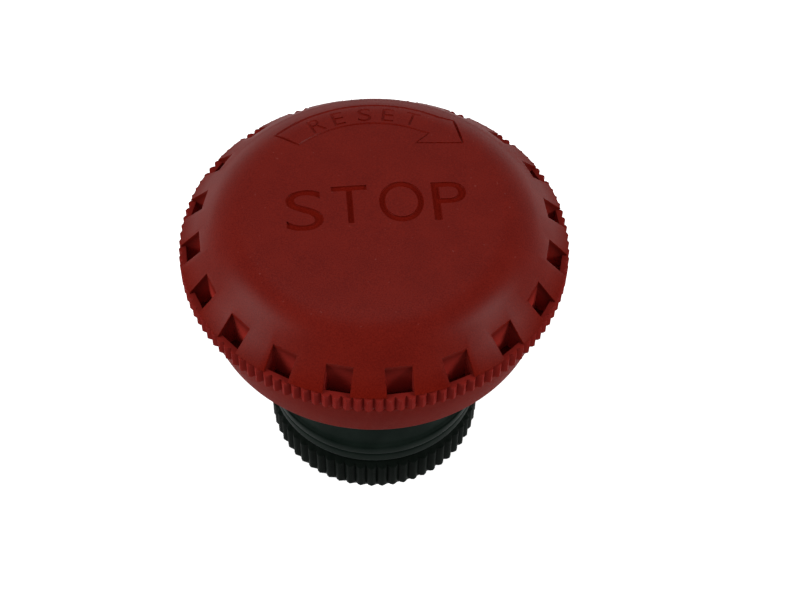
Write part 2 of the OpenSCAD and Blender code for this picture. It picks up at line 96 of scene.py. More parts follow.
def close_up(piece):
    """Merges a mesh's doubles and turns its faces outwards."""
    bpy.context.view_layer.objects.active = piece
    bpy.ops.object.mode_set(mode="EDIT")
    bpy.ops.mesh.select_all(action="SELECT")
    bpy.ops.mesh.remove_doubles(threshold=0.0005 * mm)
    bpy.ops.mesh.normals_make_consistent(inside=False)
    bpy.ops.object.mode_set(mode="OBJECT")


def turned(name, outline, columns):
    """A turned piece: the half section of (radius, height) drawn as a wire and spun about the axis."""
    piece = drawn(name, [(r, 0, z) for r, z in outline])
    bpy.ops.object.mode_set(mode="EDIT")
    bpy.ops.mesh.select_all(action="SELECT")
    bpy.ops.mesh.spin(steps=columns, angle=math.tau, center=(0, 0, 0), axis=(0, 0, 1))
    bpy.ops.object.mode_set(mode="OBJECT")
    close_up(piece)
    return piece


def rounded(outline, radii, steps=4):
    """The outline with the corners at these places in it rounded, each {place: radius}."""
    points = []
    for i, point in enumerate(outline):
        if i not in radii:
            points.append(point)
            continue
        here = Vector(point)
        to_last = (Vector(outline[i - 1]) - here).normalized()
        to_next = (Vector(outline[i + 1]) - here).normalized()
        half = to_last.angle(to_next) / 2
        centre = here + (to_last + to_next).normalized() * radii[i] / math.sin(half)
        start = here + to_last * radii[i] / math.tan(half) - centre
        end = here + to_next * radii[i] / math.tan(half) - centre
        for k in range(steps + 1):
            spoke = start.normalized().slerp(end.normalized(), k / steps)
            points.append(tuple(centre + spoke * radii[i]))
    return points


def combine(piece, tool, operation):
    """Cuts a tool out of a piece, joins the two, or keeps what they share. The tool is used up."""
    boolean = piece.modifiers.new("boolean", "BOOLEAN")
    boolean.operation = operation
    boolean.solver = "EXACT"
    boolean.object = tool
    bpy.context.view_layer.objects.active = piece
    bpy.ops.object.modifier_apply(modifier=boolean.name)
    bpy.data.objects.remove(tool)


def block(size, centre, turn=0):
    """A box set at its place and then swung round the axis of the switch, in radians."""
    bpy.ops.object.select_all(action="DESELECT")
    bpy.ops.mesh.primitive_cube_add(size=1, location=centre, scale=size)
    tool = bpy.context.object
    bpy.ops.object.transform_apply(location=True, rotation=False, scale=True)
    tool.rotation_euler.z = turn
    bpy.ops.object.transform_apply(location=False, rotation=True, scale=False)
    return tool


def smooth(piece, angle):
    """Smooth shading, with a sharp edge wherever two faces meet at more than this angle."""
    bpy.ops.object.select_all(action="DESELECT")
    piece.select_set(True)
    bpy.context.view_layer.objects.active = piece
    bpy.ops.object.shade_smooth_by_angle(angle=math.radians(angle))


class Wire:
    """One output of a material's nodes. Sums of wires and numbers add Math nodes."""

    def __init__(self, tree, socket):
        self.tree = tree
        self.socket = socket

    def node(self, kind, inputs, output=0, **settings):
        """Adds a node, sets it, fills its inputs with wires or values, and gives one of its outputs."""
        new = self.tree.nodes.new(kind)
        for key, value in settings.items():
            setattr(new, key, value)
        for key, value in inputs.items():
            if isinstance(value, Wire):
                self.tree.links.new(value.socket, new.inputs[key])
            else:
                new.inputs[key].default_value = value
        return Wire(self.tree, new.outputs[output])

    def math(self, operation, other=0.0):
        """A Math node on this wire and another, or a number. With one input the second is left unused."""
        return self.node("ShaderNodeMath", {0: self, 1: other}, operation=operation)

    def __add__(self, other):
        return self.math("ADD", other)

    def __radd__(self, other):
        return self.math("ADD", other)

    def __sub__(self, other):
        return self.math("SUBTRACT", other)

    def __rsub__(self, other):
        return self.node("ShaderNodeMath", {0: other, 1: self}, operation="SUBTRACT")

    def __mul__(self, other):
        return self.math("MULTIPLY", other)

    def __rmul__(self, other):
        return self.math("MULTIPLY", other)

    def noise(self, size, detail=2.0):
        """Cloudy noise from 0 to 1 with blotches of about this size, on a wire that holds a place."""
        return self.node("ShaderNodeTexNoise", {"Vector": self, "Scale": 1 / size, "Detail": detail})

    def ramp(self, low, high):
        """This wire stretched so that low becomes 0 and high becomes 1, and held there."""
        return self.node("ShaderNodeMapRange", {"Value": self, "From Min": low, "From Max": high})

    def mix(self, low, high):
        """A colour between two, mixed by this wire. The sockets are the factor, A and B, and the result."""
        return self.node("ShaderNodeMix", {0: self, 6: low, 7: high}, 2, data_type="RGBA")

    def bump(self, strength, depth):
        """The normal of a surface whose height is this wire, times a depth."""
        return self.node("ShaderNodeBump", {"Strength": strength, "Distance": depth, "Height": self})

    def into(self, shader, name):
        """Links this wire to one of the shader's sockets."""
        self.tree.links.new(self.socket, shader.inputs[name])


def start_material(name, **settings):
    """A new material, its shader with what is the same all over, and a wire with the place on the piece."""
    material = bpy.data.materials.new(name)
    material.use_nodes = True
    tree = material.node_tree
    shader = tree.nodes["Principled BSDF"]
    for key, value in settings.items():
        shader.inputs[key.replace("_", " ")].default_value = value
    place = Wire(tree, tree.nodes.new("ShaderNodeTexCoord").outputs["Object"])
    return material, shader, place


def dress(piece, material):
    """Gives a piece this one material."""
    piece.data.materials.clear()
    piece.data.materials.append(material)


def moulded_dark():
    """Dark green-black plastic, half gloss, faintly cloudy, with a fine spark-eroded grain."""
    material, shader, place = start_material("moulded_dark", Specular_IOR_Level=0.01)
    cloud = place.noise(2.5 * mm, 3).ramp(0.3, 0.7)
    cloud.mix((0.0050, 0.0090, 0.0070, 1), (0.0080, 0.0130, 0.0105, 1)).into(shader, "Base Color")
    (0.27 + 0.16 * place.noise(0.9 * mm, 4)).into(shader, "Roughness")
    place.noise(0.16 * mm, 3).bump(0.25, 0.02 * mm).into(shader, "Normal")
    return material


housing_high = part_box("housing")[1]
flange_r = housing_high.x
neck_top_z = housing_high.z
flange_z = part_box("panel_gasket")[1].z
neck_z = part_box("latch_cage")[0].z
ledge_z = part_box("contact_base")[1].z
chamber_top_z = 12.75 * mm
chamber_r = 6.1 * mm
recess_z = 14.05 * mm
recess_r = 4.2 * mm
bore_r = 6.4 * mm
barrel_r = 8 * mm
core_r = 7.38 * mm
neck_r = 11.6 * mm
neck_in_r = 10 * mm
end_edge = 0.3 * mm
shell = [(bore_r, 0), (core_r - end_edge, 0), (core_r, end_edge), (core_r, flange_z), (flange_r, flange_z),
         (flange_r, neck_z), (neck_r, neck_z), (neck_r, neck_top_z), (neck_in_r, neck_top_z),
         (neck_in_r, neck_z), (recess_r, neck_z), (recess_r, recess_z), (0, recess_z), (0, chamber_top_z),
         (chamber_r, chamber_top_z), (chamber_r, ledge_z), (bore_r, ledge_z), (bore_r, 0)]
corner_radii = {4: 0.3 * mm, 5: 0.5 * mm, 6: 0.4 * mm, 7: 0.4 * mm, 8: 0.3 * mm}
seen_columns = 144
housing = turned("housing_shell", rounded(shell, corner_radii), seen_columns)

pitch = 1 * mm
thread_foot = 0.04 * mm
thread_top = 13.2 * mm
thread_turns = 17
lead_in_h = 1.1 * mm
lead_in_top = 14 * mm
hidden_columns = 96
root_overlap = 0.4 * mm
core_top = 15 * mm
foot_half = 0.42 * pitch
crest_half = 0.07 * pitch
tooth = [(core_r, 0, -1.5 * pitch), (core_r, 0, -pitch - foot_half), (barrel_r, 0, -pitch - crest_half),
         (barrel_r, 0, -pitch + crest_half), (core_r, 0, -pitch + foot_half), (core_r, 0, -0.5 * pitch)]
thread = drawn("thread", tooth)
screw = thread.modifiers.new("screw", "SCREW")
screw.angle = math.tau
screw.screw_offset = pitch
screw.iterations = thread_turns
screw.steps = 72
screw.render_steps = 72
bpy.ops.object.modifier_apply(modifier=screw.name)
close_up(thread)
bpy.ops.object.mode_set(mode="EDIT")
for height, outward in ((thread_foot, -1), (thread_top, 1)):
    bpy.ops.mesh.select_all(action="SELECT")
    bpy.ops.mesh.bisect(plane_co=(0, 0, height), plane_no=(0, 0, outward), clear_outer=True,
                        use_fill=True, threshold=0.00001 * mm)
bpy.ops.object.mode_set(mode="OBJECT")
close_up(thread)
lead_in = [(0, -mm), (core_r - end_edge, -mm), (core_r - end_edge, 0), (barrel_r + end_edge, lead_in_h),
           (barrel_r + end_edge, lead_in_top), (0, lead_in_top)]
combine(thread, turned("lead_in", lead_in, hidden_columns), "INTERSECT")
core = [(0, -mm), (core_r - root_overlap, -mm), (core_r - root_overlap, core_top), (0, core_top)]
combine(thread, turned("core", core, hidden_columns), "DIFFERENCE")
combine(housing, thread, "UNION")

keyway_w = 2 * mm
keyway_depth = 0.8 * mm
rod_hole = 3.5 * mm
floor_middle_z = 14 * mm
through = 4 * mm
keyway = block((keyway_w, through, 2 * flange_z), (0, barrel_r - keyway_depth + through / 2, 0))
combine(housing, keyway, "DIFFERENCE")
combine(housing, block((rod_hole, rod_hole, through), (0, 0, floor_middle_z)), "DIFFERENCE")
smooth(housing, 35)
dress(housing, moulded_dark())
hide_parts("housing")
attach(housing, "housing")


# The contact block closes the barrel: a black disc that holds two stamped brass terminals with
# silver tips on their arms, and the bridge that joins them, on a cream carrier with its spring.
def moulded_black():
    """Black plastic, half gloss, with a fine grain and a trace of dust grey."""
    material, shader, place = start_material("moulded_black", Specular_IOR_Level=0.006)
    cloud = place.noise(1.8 * mm, 4).ramp(0.35, 0.75)
    cloud.mix((0.0030, 0.0047, 0.0036, 1), (0.0047, 0.0066, 0.0053, 1)).into(shader, "Base Color")
    (0.30 + 0.18 * place.noise(0.7 * mm, 4)).into(shader, "Roughness")
    place.noise(0.14 * mm, 3).bump(0.3, 0.02 * mm).into(shader, "Normal")
    return material


def rolled_metal(name, low, high, grain):
    """Bare strip or turned metal: two close tones, and fine lines left by the rolls or the tool."""
    material, shader, place = start_material(name, Metallic=1.0)
    place.noise(0.8 * mm, 3).mix(low, high).into(shader, "Base Color")
    lines = place.node("ShaderNodeMapping", {"Vector": place, "Scale": grain}).noise(0.25 * mm, 4)
    (0.22 + 0.22 * lines).into(shader, "Roughness")
    lines.bump(0.2, 0.01 * mm).into(shader, "Normal")
    return material


def moulded_cream():
    """Natural acetal: creamy, slightly see-through plastic with a soft gloss."""
    material, shader, place = start_material("moulded_cream", Subsurface_Weight=0.15,
                                             Subsurface_Scale=0.6 * mm)
    place.noise(2.0 * mm, 2).mix((0.66, 0.60, 0.47, 1), (0.74, 0.68, 0.55, 1)).into(shader, "Base Color")
    (0.35 + 0.15 * place.noise(0.6 * mm, 3)).into(shader, "Roughness")
    place.noise(0.2 * mm, 2).bump(0.15, 0.02 * mm).into(shader, "Normal")
    return material


black_plastic = moulded_black()
cream_plastic = moulded_cream()
brass = rolled_metal("rolled_brass", (0.60, 0.42, 0.16, 1), (0.72, 0.53, 0.24, 1), (0.15, 1, 1))
silver = rolled_metal("silver_tip", (0.72, 0.72, 0.70, 1), (0.86, 0.86, 0.85, 1), (1, 1, 1))
steel = rolled_metal("turned_steel", (0.20, 0.21, 0.22, 1), (0.29, 0.30, 0.31, 1), (0.6, 0.6, 3))
dress(nodes["contact_base"], black_plastic)
for name in ("terminal_left", "terminal_right", "contact_bridge"):
    dress(nodes[name], brass)
for name in ("fixed_tips", "moving_tips"):
    dress(nodes[name], silver)
dress(nodes["contact_carrier"], cream_plastic)
dress(nodes["contact_spring"], steel)


# The latch sits on the housing's floor: a cream cage that guides two steel pins with their springs,
# and over it the cover with the rubber seal and the return spring. The springs are wound steel wire.
def soft_rubber():
    """Smooth nitrile rubber: very dark, with a soft sheen and a faint powdery bloom."""
    material, shader, place = start_material("soft_rubber", Specular_IOR_Level=0.012)
    bloom = place.noise(1.4 * mm, 5)
    tone = bloom.ramp(0.4, 0.8)
    tone.mix((0.0045, 0.0080, 0.0062, 1), (0.0075, 0.0120, 0.0094, 1)).into(shader, "Base Color")
    (0.36 + 0.2 * bloom).into(shader, "Roughness")
    place.noise(0.3 * mm, 3).bump(0.12, 0.02 * mm).into(shader, "Normal")
    return material


rubber = soft_rubber()
for name in ("latch_cage", "housing_cover"):
    dress(nodes[name], cream_plastic)
for name in ("latch_pin_a", "latch_pin_b"):
    dress(nodes[name], steel)
dress(nodes["shaft_seal"], rubber)


def coil(name, radius, wire_r, turns, height, steps):
    """A compression spring of round wire on +Z from the origin, with its end turns closed. Steps is the
    number of points in each turn."""
    closed = 0.75
    end_rise = 2.15 * wire_r
    open_rise = (height - 2 * wire_r - 2 * end_rise * closed) / (turns - 2 * closed)
    points = []
    for k in range(turns * steps + 1):
        turn = k / steps
        lower = min(turn, closed)
        upper = max(turn - turns + closed, 0)
        rise = end_rise * (lower + upper) + open_rise * (turn - lower - upper)
        angle = math.tau * turn
        points.append((radius * math.cos(angle), radius * math.sin(angle), wire_r + rise))
    drawn(name, points)
    bpy.ops.object.convert(target="CURVE")
    spring = bpy.context.object
    spring.data.bevel_depth = wire_r
    spring.data.bevel_resolution = 4
    spring.data.use_fill_caps = True
    bpy.ops.object.convert(target="MESH")
    spring = bpy.context.object
    close_up(spring)
    smooth(spring, 40)
    dress(spring, steel)
    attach(spring, "housing")
    return spring


seat_z = 25.4 * mm
sleeve_flange_t = 1.2 * mm
spring_r = 8.2 * mm
spring_wire_r = 0.4 * mm
spring_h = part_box("cam_sleeve")[1].z - sleeve_flange_t - seat_z
spring = coil("return_spring_coil", spring_r, spring_wire_r, 5, spring_h, 24)
spring.data.transform(Matrix.Translation((0, 0, seat_z)))
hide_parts("return_spring")
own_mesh(spring)

pin_z = 20 * mm
pin_collar_x = 7.05 * mm
play = 0.05 * mm
wall_x = neck_in_r - play
latch_l = wall_x - pin_collar_x
latch_r = 0.95 * mm
latch_wire_r = 0.125 * mm
for letter, turn in (("a", 0), ("b", math.pi)):
    latch = coil("latch_coil_" + letter, latch_r, latch_wire_r, 4, latch_l, 20)
    laid = Matrix.Translation((pin_collar_x, 0, pin_z)) @ Matrix.Rotation(math.pi / 2, 4, "Y")
    latch.data.transform(Matrix.Rotation(turn, 4, "Z") @ laid)
    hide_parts("latch_spring_" + letter)
    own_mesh(latch)


# The plunger goes down through the middle: a turned steel stem with its clip carries the cam sleeve
# of cream plastic, which turns on it with the cap against the flat reset spring.
for name in ("stem", "stem_clip", "reset_spring"):
    dress(nodes[name], steel)
dress(nodes["cam_sleeve"], cream_plastic)


# The panel gasket is a ring of soft moulded rubber with round edges. It lies round the barrel under
# the flange, and the nut squeezes it against the panel.
gasket_low, gasket_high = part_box("panel_gasket")
gasket_r = gasket_high.x
gasket_in_r = barrel_r + play
gasket_outline = [(gasket_in_r, gasket_low.z), (gasket_r, gasket_low.z), (gasket_r, gasket_high.z),
                  (gasket_in_r, gasket_high.z), (gasket_in_r, gasket_low.z)]
gasket_radii = {1: 0.55 * mm, 2: 0.45 * mm}
gasket = turned("panel_gasket_ring", rounded(gasket_outline, gasket_radii, 6), seen_columns)
smooth(gasket, 40)
dress(gasket, rubber)
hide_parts("panel_gasket")
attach(gasket, "housing")


# The washer is stamped from thin steel. Its tongue slides in the barrel's keyway, so that it stays
# still when the nut is spun up against it.
dress(nodes["key_washer"], steel)


# The ring nut is moulded in black plastic with 60 straight grip ridges. It is spun on from below
# until it clamps the washer, the panel and the gasket against the flange.
def pick(piece, test):
    """Goes into edit mode with only the vertices selected whose place passes the test."""
    bpy.ops.object.select_all(action="DESELECT")
    bpy.context.view_layer.objects.active = piece
    bpy.ops.object.mode_set(mode="EDIT")
    bpy.ops.mesh.select_mode(type="VERT")
    bpy.ops.mesh.select_all(action="DESELECT")
    bpy.ops.object.mode_set(mode="OBJECT")
    for vertex in piece.data.vertices:
        vertex.select = test(vertex.co)
    bpy.ops.object.mode_set(mode="EDIT")


def column(place, columns):
    """The number of the column of vertices, counted round from +X, that a place on a turned piece is in."""
    return round(math.atan2(place.y, place.x) * columns / math.tau) % columns


nut_low, nut_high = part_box("ring_nut")
nut_r = nut_high.x
nut_in_r = barrel_r + play
nut_ridges = 60
nut_ridge_depth = 0.42 * mm
ridge_steps = 4
nut_columns = ridge_steps * nut_ridges
low_edge = 0.7 * mm
top_in = 0.45 * mm
top_down = 0.7 * mm
top_edge = 0.2 * mm
hole_edge = 0.3 * mm
nut_outline = [(nut_in_r + hole_edge, nut_low.z), (nut_r - low_edge, nut_low.z),
               (nut_r, nut_low.z + low_edge), (nut_r, nut_high.z - top_down),
               (nut_r - top_in, nut_high.z - top_edge), (nut_r - top_in - top_edge, nut_high.z),
               (nut_in_r + hole_edge, nut_high.z), (nut_in_r, nut_high.z - hole_edge),
               (nut_in_r, nut_low.z + hole_edge), (nut_in_r + hole_edge, nut_low.z)]
nut_radii = {1: 0.2 * mm, 2: 0.3 * mm, 3: 0.2 * mm}
nut = turned("ring_nut_ridged", rounded(nut_outline, nut_radii, 3), nut_columns)
for phase, depth in ((1, 0.30 * nut_ridge_depth), (2, nut_ridge_depth), (3, 0.30 * nut_ridge_depth)):
    least_r = nut_r - 0.9 * depth
    pick(nut, lambda co: co.xy.length > least_r and column(co, nut_columns) % ridge_steps == phase)
    drawn_in = (nut_r - depth) / nut_r
    bpy.ops.transform.resize(value=(drawn_in, drawn_in, 1), center_override=(0, 0, 0))
    bpy.ops.object.mode_set(mode="OBJECT")
smooth(nut, 50)
dress(nut, black_plastic)
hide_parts("ring_nut")
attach(nut, "nut")


# The under-shell of the head is moulded in the same red plastic and closes the cap from below. It
# tapers in towards the neck, with a spigot that locates it in the cap and a lip round the neck.
def satin_red(name, **settings):
    """Red satin plastic, faintly cloudy and speckled, with a fine even grain from the mould."""
    material, shader, place = start_material(name, Specular_IOR_Level=0.004, **settings)
    tone = 0.28 * place.noise(3.0 * mm, 3) + 0.72 * place.noise(0.14 * mm, 2)
    colour = tone.ramp(0.38, 0.62).mix((0.105, 0.0038, 0.0016, 1), (0.143, 0.0074, 0.0034, 1))
    colour.into(shader, "Base Color")
    (0.42 + 0.14 * place.noise(0.5 * mm, 3)).into(shader, "Roughness")
    place.noise(0.15 * mm, 3).bump(0.5, 0.03 * mm).into(shader, "Normal")
    return material, shader, place, colour


skirt_low, skirt_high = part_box("cap_skirt")
rim_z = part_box("mushroom_cap")[0].z
skirt_r = skirt_high.x
foot_r = 17.6 * mm
hole_r = 12.3 * mm
spigot_r = 16.15 * mm
spigot_top = skirt_high.z
shell_t = 1.2 * mm
lip_t = 1 * mm
lip_h = 2 * mm
floor_z = skirt_low.z + shell_t
skirt_outline = [(hole_r, skirt_low.z), (foot_r, skirt_low.z), (skirt_r, rim_z), (spigot_r, rim_z),
                 (spigot_r, spigot_top), (spigot_r - shell_t, spigot_top),
                 (spigot_r - shell_t, rim_z - shell_t), (skirt_r - shell_t, rim_z - shell_t),
                 (foot_r - shell_t, floor_z), (hole_r + lip_t, floor_z),
                 (hole_r + lip_t, floor_z + lip_h), (hole_r, floor_z + lip_h), (hole_r, skirt_low.z)]
skirt_radii = {1: 0.9 * mm, 2: 0.3 * mm, 4: 0.2 * mm}
skirt_columns = 192
skirt = turned("cap_skirt_shell", rounded(skirt_outline, skirt_radii, 6), skirt_columns)
smooth(skirt, 35)
dress(skirt, satin_red("satin_red_shell")[0])
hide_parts("cap_skirt")
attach(skirt, "mushroom")


# The cap is moulded in satin red plastic: a gently domed top, a round shoulder and a 45 degree flank
# with 20 grip pockets. A thin rim with 120 fine ridges closes the pockets outside. Under the top a
# collar holds the sleeve's flange, with ribs out to the wall, two key teeth and four turn stops.
cap_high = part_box("mushroom_cap")[1]
rim_r = cap_high.x - 0.01 * mm
cap_h = cap_high.z - rim_z
crown_r = 300 * mm
shoulder_r = 6 * mm
band_h = 2.3 * mm
flank_r = rim_r - 0.2 * mm
cap_wall = 2 * mm
hollow_r = 16.2 * mm
ridge_n = 120
ridge_depth = 0.45 * mm

flank_sum = flank_r + band_h
centre_sum = flank_sum - math.sqrt(2) * shoulder_r
reach = centre_sum + crown_r - cap_h
shoulder_x = (reach - math.sqrt(2 * (crown_r - shoulder_r) ** 2 - reach ** 2)) / 2
shoulder_z = rim_z + centre_sum - shoulder_x
tilt = math.asin(shoulder_x / (crown_r - shoulder_r))


def crown_z(r, inset=0):
    """Height of the cap's top at a distance from the axis, out to the shoulder, or of a skin inside it."""
    if r < (crown_r - inset) * math.sin(tilt):
        return cap_high.z - crown_r + math.sqrt((crown_r - inset) ** 2 - r ** 2)
    return shoulder_z + math.sqrt((shoulder_r - inset) ** 2 - (r - shoulder_x) ** 2)


def crown_line(inset, rings, bends):
    """The top's outline from the axis out to where the shoulder meets the flank, set in by this much."""
    dome_r = (crown_r - inset) * math.sin(tilt)
    line = [(dome_r * k / rings, crown_z(dome_r * k / rings, inset)) for k in range(rings)]
    for k in range(bends + 1):
        angle = tilt + (math.pi / 4 - tilt) * k / bends
        line.append((shoulder_x + (shoulder_r - inset) * math.sin(angle),
                     shoulder_z + (shoulder_r - inset) * math.cos(angle)))
    return line


def hollow_line(inset, side_r):
    """The outline of the hollow under the top, from the side wall up and in to the axis."""
    return [(side_r, rim_z + flank_sum - math.sqrt(2) * inset - side_r)] + crown_line(inset, 2, 6)[::-1]


foot_in = 0.5 * mm
raise_h = 0.1 * mm
side = [(flank_r, rim_z + band_h), (flank_r - foot_in, rim_z + band_h - foot_in),
        (flank_r - foot_in, rim_z + raise_h), (hollow_r, rim_z + raise_h)]
cap = turned("mushroom_cap_shell", crown_line(0, 4, 10) + side + hollow_line(cap_wall, hollow_r), ridge_n)

ring_in = hollow_r + 0.2 * mm
ridge_columns = ridge_steps * ridge_n
foot_slope_in = ridge_depth + 0.1 * mm
foot_slope_h = 0.25 * mm
ridge_end_z = rim_z + band_h - 0.18 * mm
shelf_r = flank_r - 0.2 * mm
shelf_z = rim_z + band_h - 0.04 * mm
root_z = rim_z + band_h - 0.8 * mm
ring = [(ring_in, rim_z), (rim_r - foot_slope_in, rim_z), (rim_r, rim_z + foot_slope_h),
        (rim_r, ridge_end_z), (shelf_r, shelf_z), (ring_in, root_z), (ring_in, rim_z)]
rim = turned("rim", ring, ridge_columns)
for phase, depth in ((1, 0.28 * ridge_depth), (2, ridge_depth), (3, 0.28 * ridge_depth)):
    pick(rim, lambda co: co.xy.length > flank_r and column(co, ridge_columns) % ridge_steps == phase)
    drawn_in = (rim_r - depth) / rim_r
    bpy.ops.transform.resize(value=(drawn_in, drawn_in, 1), center_override=(0, 0, 0))
    bpy.ops.object.mode_set(mode="OBJECT")
combine(cap, rim, "UNION")

pocket_n = 20
pocket_w = 2.65 * mm
pocket_in = rim_r - 2.3 * mm
pocket_out = rim_r - 0.8 * mm
ledge = rim_z + band_h - 0.15 * mm
past_cap = 4 * mm
mouth_edge = 0.35 * mm
pocket_outline = [(pocket_in, rim_z - mm), (pocket_out, rim_z - mm), (pocket_out, ledge),
                  (pocket_in + past_cap, ledge), (pocket_in + past_cap, ledge + past_cap),
                  (pocket_in, ledge + past_cap)]
pocket = drawn("pocket", [(r, -pocket_w / 2, z) for r, z in pocket_outline + pocket_outline[:1]])
bpy.ops.object.mode_set(mode="EDIT")
bpy.ops.mesh.select_all(action="SELECT")
bpy.ops.mesh.remove_doubles(threshold=0.0005 * mm)
bpy.ops.mesh.edge_face_add()
bpy.ops.mesh.extrude_region_move(TRANSFORM_OT_translate={"value": (0, pocket_w, 0)})
bpy.ops.object.mode_set(mode="OBJECT")
close_up(pocket)
pockets = [pocket]
for k in range(1, pocket_n):
    bpy.ops.object.duplicate()
    pockets.append(bpy.context.object)
for k, pocket in enumerate(pockets):
    pocket.data.transform(Matrix.Rotation(math.tau * (k + 0.5) / pocket_n, 4, "Z"))
    pocket.select_set(True)
bpy.context.view_layer.objects.active = pockets[0]
bpy.ops.object.join()
combine(cap, pockets[0], "DIFFERENCE")


def pick_edges(piece, test):
    """Goes into edit mode with only the edges selected whose middle and two face normals pass the test."""
    normals = {}
    for face in piece.data.polygons:
        for key in face.edge_keys:
            normals.setdefault(key, []).append(face.normal.copy())
    bpy.ops.object.select_all(action="DESELECT")
    bpy.context.view_layer.objects.active = piece
    bpy.ops.object.mode_set(mode="EDIT")
    bpy.ops.mesh.select_mode(type="EDGE")
    bpy.ops.mesh.select_all(action="DESELECT")
    bpy.ops.object.mode_set(mode="OBJECT")
    corners = piece.data.vertices
    for edge in piece.data.edges:
        middle = (corners[edge.vertices[0]].co + corners[edge.vertices[1]].co) / 2
        sides = normals[edge.key]
        edge.select = len(sides) == 2 and test(middle, *sorted(sides, key=lambda normal: normal.z))
    bpy.ops.object.mode_set(mode="EDIT")


def pocket_edge(middle, wall, face):
    """The edges of the grip pockets' mouths, and the inner edge of the rim across each of them."""
    upper = middle.z > ledge + 0.03 * mm or middle.xy.length < pocket_out + 0.1 * mm
    return upper and middle.z > ledge - 0.01 * mm and face.z > 0.5 and abs(wall.z) < 0.3


pick_edges(cap, pocket_edge)
bpy.ops.mesh.bevel(offset=mouth_edge, segments=3, affect="EDGES", clamp_overlap=True)
bpy.ops.object.mode_set(mode="OBJECT")
close_up(cap)

sleeve_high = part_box("cam_sleeve")[1]
collar_r = sleeve_high.x + play
collar_t = 1.2 * mm
bead = 0.3 * mm
bead_z = rim_z + 1.6 * mm
rib_t = 1.2 * mm
rib_z = bead_z - 0.1 * mm
above = cap_high.z
collar = [(collar_r - bead, bead_z), (collar_r + collar_t, bead_z), (collar_r + collar_t, above),
          (collar_r, above), (collar_r, bead_z + bead), (collar_r - bead, bead_z + bead),
          (collar_r - bead, bead_z)]
inside = turned("cap_inside", collar, hidden_columns)


def add_bars(length, width, low, middle_r, turns):
    """Joins upright bars to the inside form: how long outwards, how wide, from what height, and where."""
    for turn in turns:
        bar = block((length, width, above - low), (middle_r, 0, (above + low) / 2), math.radians(turn))
        combine(inside, bar, "UNION")


rib_in = collar_r + collar_t / 2
rib_out = hollow_r + mm
key_l = 1.4 * mm
key_w = 1.8 * mm
stop_l = 2 * mm
stop_r = 5.9 * mm
add_bars(rib_out - rib_in, rib_t, rib_z, (rib_in + rib_out) / 2, [22.5 + 45 * k for k in range(8)])
add_bars(key_l, key_w, bead_z + 0.4 * mm, collar_r - 0.1 * mm, (90, 270))
add_bars(stop_l, rib_t, sleeve_high.z + 0.2 * mm, stop_r, [22.5 + 90 * k for k in range(4)])
trim_r = hollow_r + 0.5 * mm
trim = [(0, rim_z), (trim_r, rim_z)] + hollow_line(cap_wall / 2, trim_r)
combine(inside, turned("trim", trim, hidden_columns), "INTERSECT")
combine(cap, inside, "UNION")
close_up(cap)


def place_on_top(piece, x, y, turn):
    """Lays a flat shape on the cap's top at x and y, turned in its plane and leaning with the surface."""
    r = math.hypot(x, y)
    step = 0.1 * mm
    lean = math.atan2(crown_z(r) - crown_z(r + step), step)
    spot = Matrix.Translation((x, y, crown_z(r)))
    piece.matrix_world = spot @ Matrix.Rotation(lean, 4, (-y, x, 0)) @ Matrix.Rotation(turn, 4, "Z")
    bpy.ops.object.select_all(action="DESELECT")
    piece.select_set(True)
    bpy.context.view_layer.objects.active = piece
    bpy.ops.object.transform_apply(location=True, rotation=True, scale=True)


capital_h = 0.72


def sink_letter(letter, width, height, depth, slope, x, y, turn):
    """Sinks one plain letter into the top, the foot of its walls sloping in by the slope."""
    bpy.ops.object.select_all(action="DESELECT")
    bpy.ops.object.text_add(location=(0, 0, 0))
    tool = bpy.context.object
    tool.data.body = letter
    tool.data.size = height / capital_h
    tool.data.extrude = depth - slope
    tool.data.bevel_depth = slope
    tool.data.bevel_resolution = 2
    tool.data.offset = -slope
    tool.data.resolution_u = 8
    bpy.ops.object.convert(target="MESH")
    tool = bpy.context.object
    low = Vector(tool.bound_box[0])
    high = Vector(tool.bound_box[6])
    stretch = Matrix.Diagonal((width / (high.x - low.x), height / (high.y - low.y), 1, 1))
    tool.data.transform(stretch @ Matrix.Translation(-(low + high) / 2))
    close_up(tool)
    place_on_top(tool, x, y, turn)
    combine(cap, tool, "DIFFERENCE")


stop_depth = 0.2 * mm
stop_slope = 0.12 * mm
stop_turn = math.radians(6)
for letter, width, height, x, y in (("S", 3.75, 5.25, -6.94, -0.96), ("T", 3.6, 4.9, -2.45, -0.10),
                                    ("O", 4.5, 5.25, 2.68, 0.46), ("P", 3.5, 4.95, 7.53, 0.81)):
    sink_letter(letter, width * mm, height * mm, stop_depth, stop_slope, x * mm, y * mm, stop_turn)
reset_h = 1.9 * mm
reset_r = 12.6 * mm
reset_depth = 0.1 * mm
reset_slope = 0.02 * mm
for letter, width, bearing in (("R", 1.55, 120.3), ("E", 1.25, 109.4), ("S", 1.4, 96.6),
                               ("E", 1.25, 85.3), ("T", 1.5, 73.7)):
    angle = math.radians(bearing)
    sink_letter(letter, width * mm, reset_h, reset_depth, reset_slope, reset_r * math.cos(angle),
                reset_r * math.sin(angle), angle - math.pi / 2)

groove_r = 0.22 * mm
groove_lift = 0.11 * mm


def on_top(r, bearing):
    """A point just over the cap's top by its distance from the axis and its bearing in degrees."""
    angle = math.radians(bearing)
    return (r * math.cos(angle), r * math.sin(angle), crown_z(r) + groove_lift)


